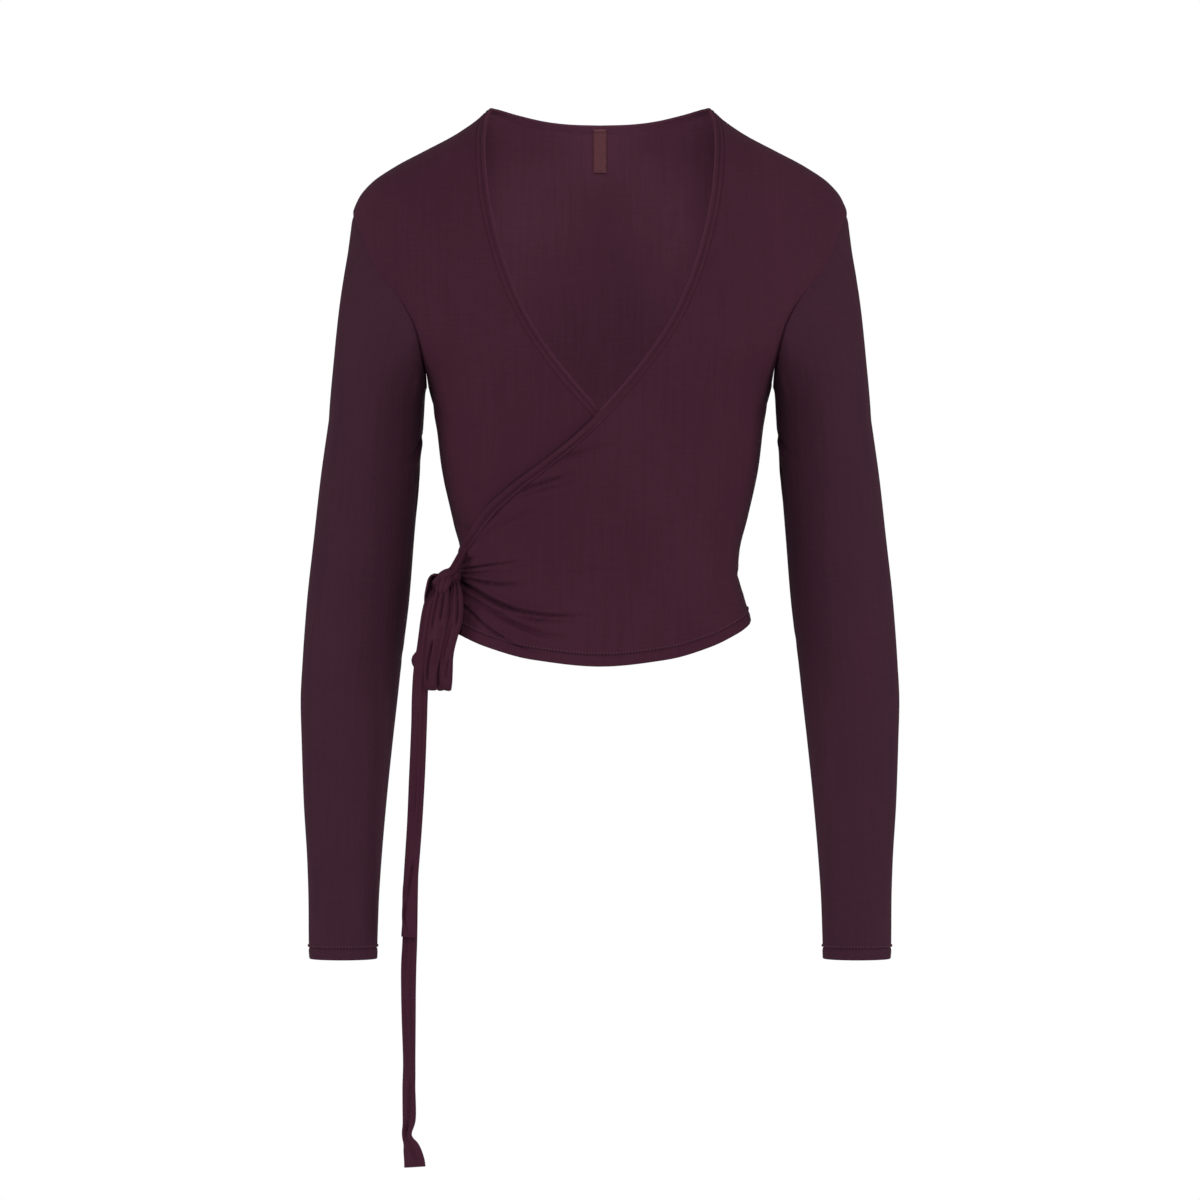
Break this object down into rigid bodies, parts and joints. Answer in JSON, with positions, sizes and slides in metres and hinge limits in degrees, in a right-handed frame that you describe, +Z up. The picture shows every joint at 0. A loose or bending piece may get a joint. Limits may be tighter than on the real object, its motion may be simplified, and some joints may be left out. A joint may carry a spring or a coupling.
{
  "type": "long-sleeved wrap top",
  "caption": "Cropped long-sleeved wrap top in fine jersey, filled out as worn, with a bound V neck and a bow with hanging ties at one side of the waist.",
  "frame": {"origin": "midway between the two high points of the shoulders, where the wearer carries the top", "axes": "+Z up, -Y the front, +X the wearer's left"},
  "size_m": [0.4912, 0.2119, 0.8649],
  "materials": {
    "jersey": "matte fine ribbed jersey",
    "label_satin": "satin woven tape"
  },
  "bodies": {
    "root": {"back": "jersey", "front_over": "jersey", "front_under": "jersey", "neck_binding": "jersey", "sleeve_left": "jersey", "sleeve_right": "jersey", "bow_knot": "jersey", "bow_loop_left": "jersey", "bow_loop_right": "jersey", "tie_end_short": "jersey", "tie_end_long": "jersey", "label": "label_satin"}
  },
  "joints": []
}
